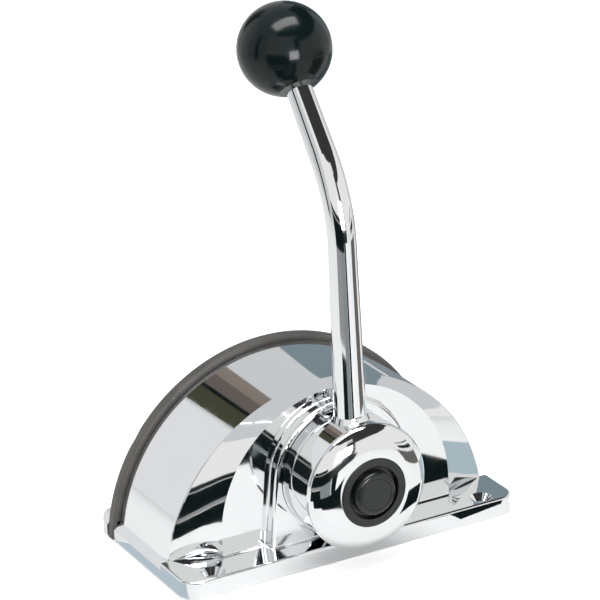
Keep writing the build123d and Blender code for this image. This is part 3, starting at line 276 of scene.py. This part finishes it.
# ---------------------------------------------------------------- shafts and pins
# The hollow pivot shaft, the clutch rod through it and the two cable pins are turned from
# stainless bar and ground, which leaves fine rings round them.
ground, tree, shader, place = new_finish("ground_steel")
shader.inputs["Metallic"].default_value = 1.0
rings = cloud(tree, place, scale=1500.0, detail=2.0, stretch=(0.1, 1.0, 0.1))
tint(tree, shader, rings, dark=(0.60, 0.61, 0.63), light=(0.74, 0.75, 0.76))
sheen(tree, shader, rings, low=0.14, high=0.26)
for name in ("pivot_shaft", "clutch_rod", "throttle_cable_pin", "shift_cable_pin"):
    dress(name, ground)


# ---------------------------------------------------------------- spring clips
# The clip on the shift arm's pin and the circlip on the shaft are stamped from spring steel,
# hardened, phosphated and oiled.
spring_steel, tree, shader, place = new_finish("phosphated_spring_steel")
shader.inputs["Metallic"].default_value = 1.0
oil = cloud(tree, place, scale=500.0)
tint(tree, shader, oil, dark=(0.10, 0.10, 0.11), light=(0.22, 0.22, 0.24))
sheen(tree, shader, oil, low=0.3, high=0.45)
for name in ("shift_pin_clip", "shaft_circlip"):
    dress(name, spring_steel)


# ---------------------------------------------------------------- shaft bushes
# Two bushes moulded in natural nylon. The flanged one is pressed into the housing's boss
# and the plain one into the back cover's.
nylon, tree, shader, place = new_finish("natural_nylon")
milk = cloud(tree, place, scale=300.0)
tint(tree, shader, milk, dark=(0.62, 0.60, 0.52), light=(0.72, 0.70, 0.62))
sheen(tree, shader, milk, low=0.32, high=0.44)
shader.inputs["Subsurface Weight"].default_value = 0.1
shader.inputs["Subsurface Radius"].default_value = (0.002, 0.0018, 0.0015)
for name in ("front_bush", "rear_bush"):
    dress(name, nylon)


# ---------------------------------------------------------------- friction brake
# Pad of woven brake lining that the friction screw pushes up against the throttle arm's
# long hub. The weave shows as short brown streaks.
lining, tree, shader, place = new_finish("woven_brake_lining")
weave = cloud(tree, place, scale=1200.0, detail=5.0, stretch=(1.0, 0.4, 1.0))
tint(tree, shader, weave, dark=(0.10, 0.055, 0.03), light=(0.22, 0.14, 0.08))
sheen(tree, shader, weave, low=0.7, high=0.9)
relief(tree, shader, weave, depth=0.0001)
dress("friction_pad", lining)


# ---------------------------------------------------------------- neutral switch
# Snap switch in a black moulded case, with a red moulded plunger. The plunger faces the
# detent disc's cam while the lever stands in neutral.
for name, dark, light in (
    ("neutral_switch", (0.012, 0.012, 0.013), (0.022, 0.022, 0.024)),
    ("switch_plunger", (0.36, 0.03, 0.02), (0.45, 0.05, 0.03)),
):
    moulded, tree, shader, place = new_finish("moulded_" + name)
    speck = cloud(tree, place, scale=1500.0)
    tint(tree, shader, speck, dark, light)
    sheen(tree, shader, speck, low=0.35, high=0.5)
    dress(name, moulded)


# ---------------------------------------------------------------- detent leaf
# Spring steel strip screwed under the drum's roof, with a nose that drops into the detent
# disc's notches. It keeps its own shape at rest.
weld_reach = 0.000001
leaf = bpy.data.objects.new("detent_leaf_spring", nodes["detent_leaf"].data.copy())
bpy.context.scene.collection.objects.link(leaf)
weld = bmesh.new()
weld.from_mesh(leaf.data)
bmesh.ops.remove_doubles(weld, verts=weld.verts, dist=weld_reach)
weld.to_mesh(leaf.data)
weld.free()
leaf.data.polygons.foreach_set("use_smooth", [False] * len(leaf.data.polygons))
leaf.data.materials.clear()
leaf.data.materials.append(spring_steel)
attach(leaf, "base")
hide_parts("detent_leaf")
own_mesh(leaf)


# ---------------------------------------------------------------- studio
# A pale table under a white sweep, lit from overhead and from the front. Glowing sheets lie
# and stand round it that show only in the polished surfaces: painted reflections that give
# the chrome its dark and light bands.
scene = bpy.context.scene
scene.view_settings.view_transform = "Standard"


def painted_reflection_glow(name, colour):
    """A material that glows evenly in one colour, for a painted reflection."""
    material = bpy.data.materials.new(name)
    material.use_nodes = True
    tree = material.node_tree
    tree.nodes.clear()
    output = tree.nodes.new("ShaderNodeOutputMaterial")
    glow = tree.nodes.new("ShaderNodeEmission")
    glow.inputs["Color"].default_value = (*colour, 1.0)
    glow.inputs["Strength"].default_value = 1.0
    tree.links.new(glow.outputs["Emission"], output.inputs["Surface"])
    return material


def painted_reflection_strip(name, azimuths, foot, head, colour):
    """A sheet bent round the hub, from one azimuth to another, 0 in front and 90 to the
    right. Its lower edge runs at foot = (radius, height) and its upper edge at head:
    P(a) = (radius sin a, -radius cos a, height) + hub_place."""
    hub_place = np.array([0.0, -0.05, 0.0])
    degrees_per_facet = 4
    count = max(2, round((azimuths[1] - azimuths[0]) / degrees_per_facet))
    angles = np.radians(np.linspace(azimuths[0], azimuths[1], count + 1))
    ring = np.stack([np.sin(angles), -np.cos(angles), np.zeros(count + 1)], axis=1)
    edges = [ring * radius + hub_place + (0.0, 0.0, height) for radius, height in (foot, head)]
    here = np.arange(count)
    faces = np.stack([here, here + 1, here + count + 2, here + count + 1], axis=1)
    mesh = bpy.data.meshes.new(name)
    mesh.from_pydata(np.vstack(edges).tolist(), [], faces.tolist())
    mesh.materials.append(painted_reflection_glow(name, colour))
    panel = bpy.data.objects.new(name, mesh)
    scene.collection.objects.link(panel)
    # Seen only in reflections, where it is a painted reflection.
    panel.visible_camera = False
    panel.visible_diffuse = False
    panel.visible_shadow = False


# Colours of the painted reflections, which glow.
black_painted_reflection = (0.006, 0.011, 0.011)
white_painted_reflection = (0.92, 0.92, 0.90)
ceiling_painted_reflection = (0.040, 0.040, 0.041)
floor_height = 0.001

# Glowing sheets on the table, painted reflections only: azimuths, inner and outer radius, colour.
for name, azimuths, inner, outer, colour in (
    ("black_floor_sheet", (-66, -39), 0.15, 0.36, black_painted_reflection),
    ("black_left_floor", (-58, -39), 0.108, 0.15, black_painted_reflection),
    ("black_near_floor", (-39, 14), 0.10, 0.17, black_painted_reflection),
    ("light_floor_sheet", (-75, -39), 0.38, 0.66, (0.32, 0.32, 0.32)),
    ("grey_floor_sheet", (-39, -13), 0.17, 0.66, (0.26, 0.29, 0.30)),
    ("black_floor_gap", (-12, -1), 0.17, 1.0, black_painted_reflection),
    ("black_far_floor", (-75, -13), 0.66, 1.0, black_painted_reflection),
    ("brown_floor_sheet", (44, 82), 0.24, 0.9, (0.15, 0.14, 0.13)),
    ("blue_floor_sheet", (105, 145), 0.24, 0.9, (0.24, 0.28, 0.31)),
    ("blue_left_foot", (-140, -89), 0.098, 0.130, (0.52, 0.61, 0.67)),
    ("blue_right_foot", (82, 102), 0.115, 0.24, (0.46, 0.56, 0.61)),
    ("black_right_foot", (38, 81), 0.070, 0.112, black_painted_reflection),
):
    painted_reflection_strip(name, azimuths, (inner, floor_height), (outer, floor_height), colour)

# Glowing sheets that stand up, painted reflections only: azimuths, radius, lower and upper edge, colour.
for name, azimuths, radius, low, high, colour in (
    ("black_low_wall", (-75, -28), 1.0, 0.0, 0.30, black_painted_reflection),
    ("light_wall_line", (-75, -28), 0.99, 0.215, 0.232, (0.55, 0.56, 0.56)),
    ("black_front_wall", (-28, 14), 1.0, 0.0, 0.22, black_painted_reflection),
    ("black_right_wall", (50, 80), 0.9, 0.06, 0.12, black_painted_reflection),
    ("thin_right_wall", (50, 80), 0.9, 0.17, 0.19, black_painted_reflection),
    ("white_front_left", (-75, -3), 1.40, 0.2, 1.7, white_painted_reflection),
    ("dark_gap", (-3, 11), 1.38, 0.0, 1.3, (0.05, 0.05, 0.055)),
    ("white_front_right", (11, 96), 1.40, 0.0, 1.05, white_painted_reflection),
    ("dark_left_edge", (-106, -96), 1.30, 0.0, 1.2, (0.03, 0.03, 0.03)),
    ("olive_back", (-172, -164), 1.6, 0.45, 1.5, (0.06, 0.065, 0.04)),
    ("brown_back", (-180, -173), 1.6, 0.45, 1.5, (0.14, 0.12, 0.11)),
    ("pale_brown_back", (174, 180), 1.6, 0.45, 1.5, (0.25, 0.21, 0.18)),
    ("blue_back_right", (126, 153), 1.6, 0.0, 0.79, (0.22, 0.28, 0.31)),
    ("dark_back_right", (126, 152), 1.6, 0.80, 1.05, (0.09, 0.09, 0.10)),
    ("thin_back_line", (-173.6, -171.8), 1.58, 0.45, 1.5, black_painted_reflection),
    ("pale_back_left", (-163, -126), 1.62, 0.0, 1.5, (0.84, 0.84, 0.85)),
    # A bright glowing strip seen only in reflections: a painted highlight, not a window.
    ("painted_front_highlight", (-19, 5), 0.45, 0.18, 0.35, (11.5, 11.2, 12.0)),
):
    painted_reflection_strip(name, azimuths, (radius, low), (radius, high), colour)

# Dark glowing sheets under the ceiling, round the overhead box: painted reflections only.
painted_reflection_strip("dark_high_ceiling", (-60, 8), (1.50, 1.80), (0.80, 1.75), ceiling_painted_reflection)
painted_reflection_strip("dark_ceiling", (8, 140), (1.50, 1.05), (0.75, 1.50), ceiling_painted_reflection)

# Room: pale grey to every surface and white to the camera.
world = bpy.data.worlds.new("studio")
scene.world = world
world.use_nodes = True
tree = world.node_tree
tree.nodes.clear()
output = tree.nodes.new("ShaderNodeOutputWorld")
mix = tree.nodes.new("ShaderNodeMixShader")
room = tree.nodes.new("ShaderNodeBackground")
room.inputs["Color"].default_value = (0.66, 0.67, 0.68, 1.0)
room.inputs["Strength"].default_value = 1.0
backdrop = tree.nodes.new("ShaderNodeBackground")
backdrop.inputs["Color"].default_value = (1.0, 1.0, 1.0, 1.0)
backdrop.inputs["Strength"].default_value = 1.0
rays = tree.nodes.new("ShaderNodeLightPath")
tree.links.new(rays.outputs["Is Camera Ray"], mix.inputs["Fac"])
tree.links.new(room.outputs["Background"], mix.inputs[1])
tree.links.new(backdrop.outputs["Background"], mix.inputs[2])
tree.links.new(mix.outputs["Shader"], output.inputs["Surface"])

# Table: matt white laminate, which to the camera ends in the white backdrop.
table_reach = 6.0
table_drop = 0.0002
corners = table_reach * np.array([(-1, -1, 0), (1, -1, 0), (1, 1, 0), (-1, 1, 0)])
table = bpy.data.meshes.new("table")
table.from_pydata(corners.tolist(), [], [(0, 1, 2, 3)])
laminate, tree, shader, place = new_finish("white_laminate")
laminate_cloud = cloud(tree, place, scale=3.0)
tint(tree, shader, laminate_cloud, dark=(0.80, 0.80, 0.79), light=(0.84, 0.84, 0.83))
shader.inputs["Roughness"].default_value = 0.7
shader.inputs["Emission Color"].default_value = (1.0, 1.0, 1.0, 1.0)
rays = tree.nodes.new("ShaderNodeLightPath")
camera_lift = 0.45
lift = tree.nodes.new("ShaderNodeMath")
lift.operation = "MULTIPLY"
lift.inputs[1].default_value = camera_lift
tree.links.new(rays.outputs["Is Camera Ray"], lift.inputs[0])
tree.links.new(lift.outputs["Value"], shader.inputs["Emission Strength"])
table.materials.append(laminate)
floor = bpy.data.objects.new("table", table)
floor.location = (0.0, 0.0, -table_drop)
scene.collection.objects.link(floor)


def stand(thing, side, up, back, place):
    """Puts a lamp or camera at a place; it looks away from back, with side to its right."""
    matrix = np.eye(4)
    matrix[:3] = np.stack([side, up, back, place], axis=1)
    thing.matrix_world = Matrix(matrix.tolist())
    scene.collection.objects.link(thing)


def soft_box(name, place, aim, width, height, watts):
    """A rectangular soft box at a place, turned to face a point."""
    lamp = bpy.data.lights.new(name, "AREA")
    lamp.shape = "RECTANGLE"
    lamp.size = width
    lamp.size_y = height
    lamp.energy = watts
    box = bpy.data.objects.new(name, lamp)
    back = np.subtract(place, aim)
    back /= np.linalg.norm(back)
    overhead = abs(back[2]) > 0.9
    side = np.cross((0.0, 1.0, 0.0) if overhead else (0.0, 0.0, 1.0), back)
    side /= np.linalg.norm(side)
    stand(box, side, np.cross(back, side), back, place)
    box.visible_camera = False


soft_box("overhead_box", (-0.05, -0.20, 1.55), (0.0, 0.0, 0.1), width=1.25, height=0.5, watts=15.0)
soft_box("front_window", (-0.10, -1.50, 0.27), (0.0, 0.0, 0.2), width=0.62, height=0.50, watts=5.0)

# Camera: a long lens, from the front left and above.
camera_place = (-0.67357, -1.25429, 0.68521)
camera_right = (0.87383, -0.48499, -0.03475)
camera_up = (0.20492, 0.30251, 0.93086)
camera_back = (-0.44095, -0.82053, 0.36373)
lens = bpy.data.cameras.new("camera")
lens.sensor_width = 36.0
lens.lens = 172.04
lens.clip_start = 0.05
lens.clip_end = 30.0
camera = bpy.data.objects.new("camera", lens)
stand(camera, camera_right, camera_up, camera_back, camera_place)
scene.camera = camera
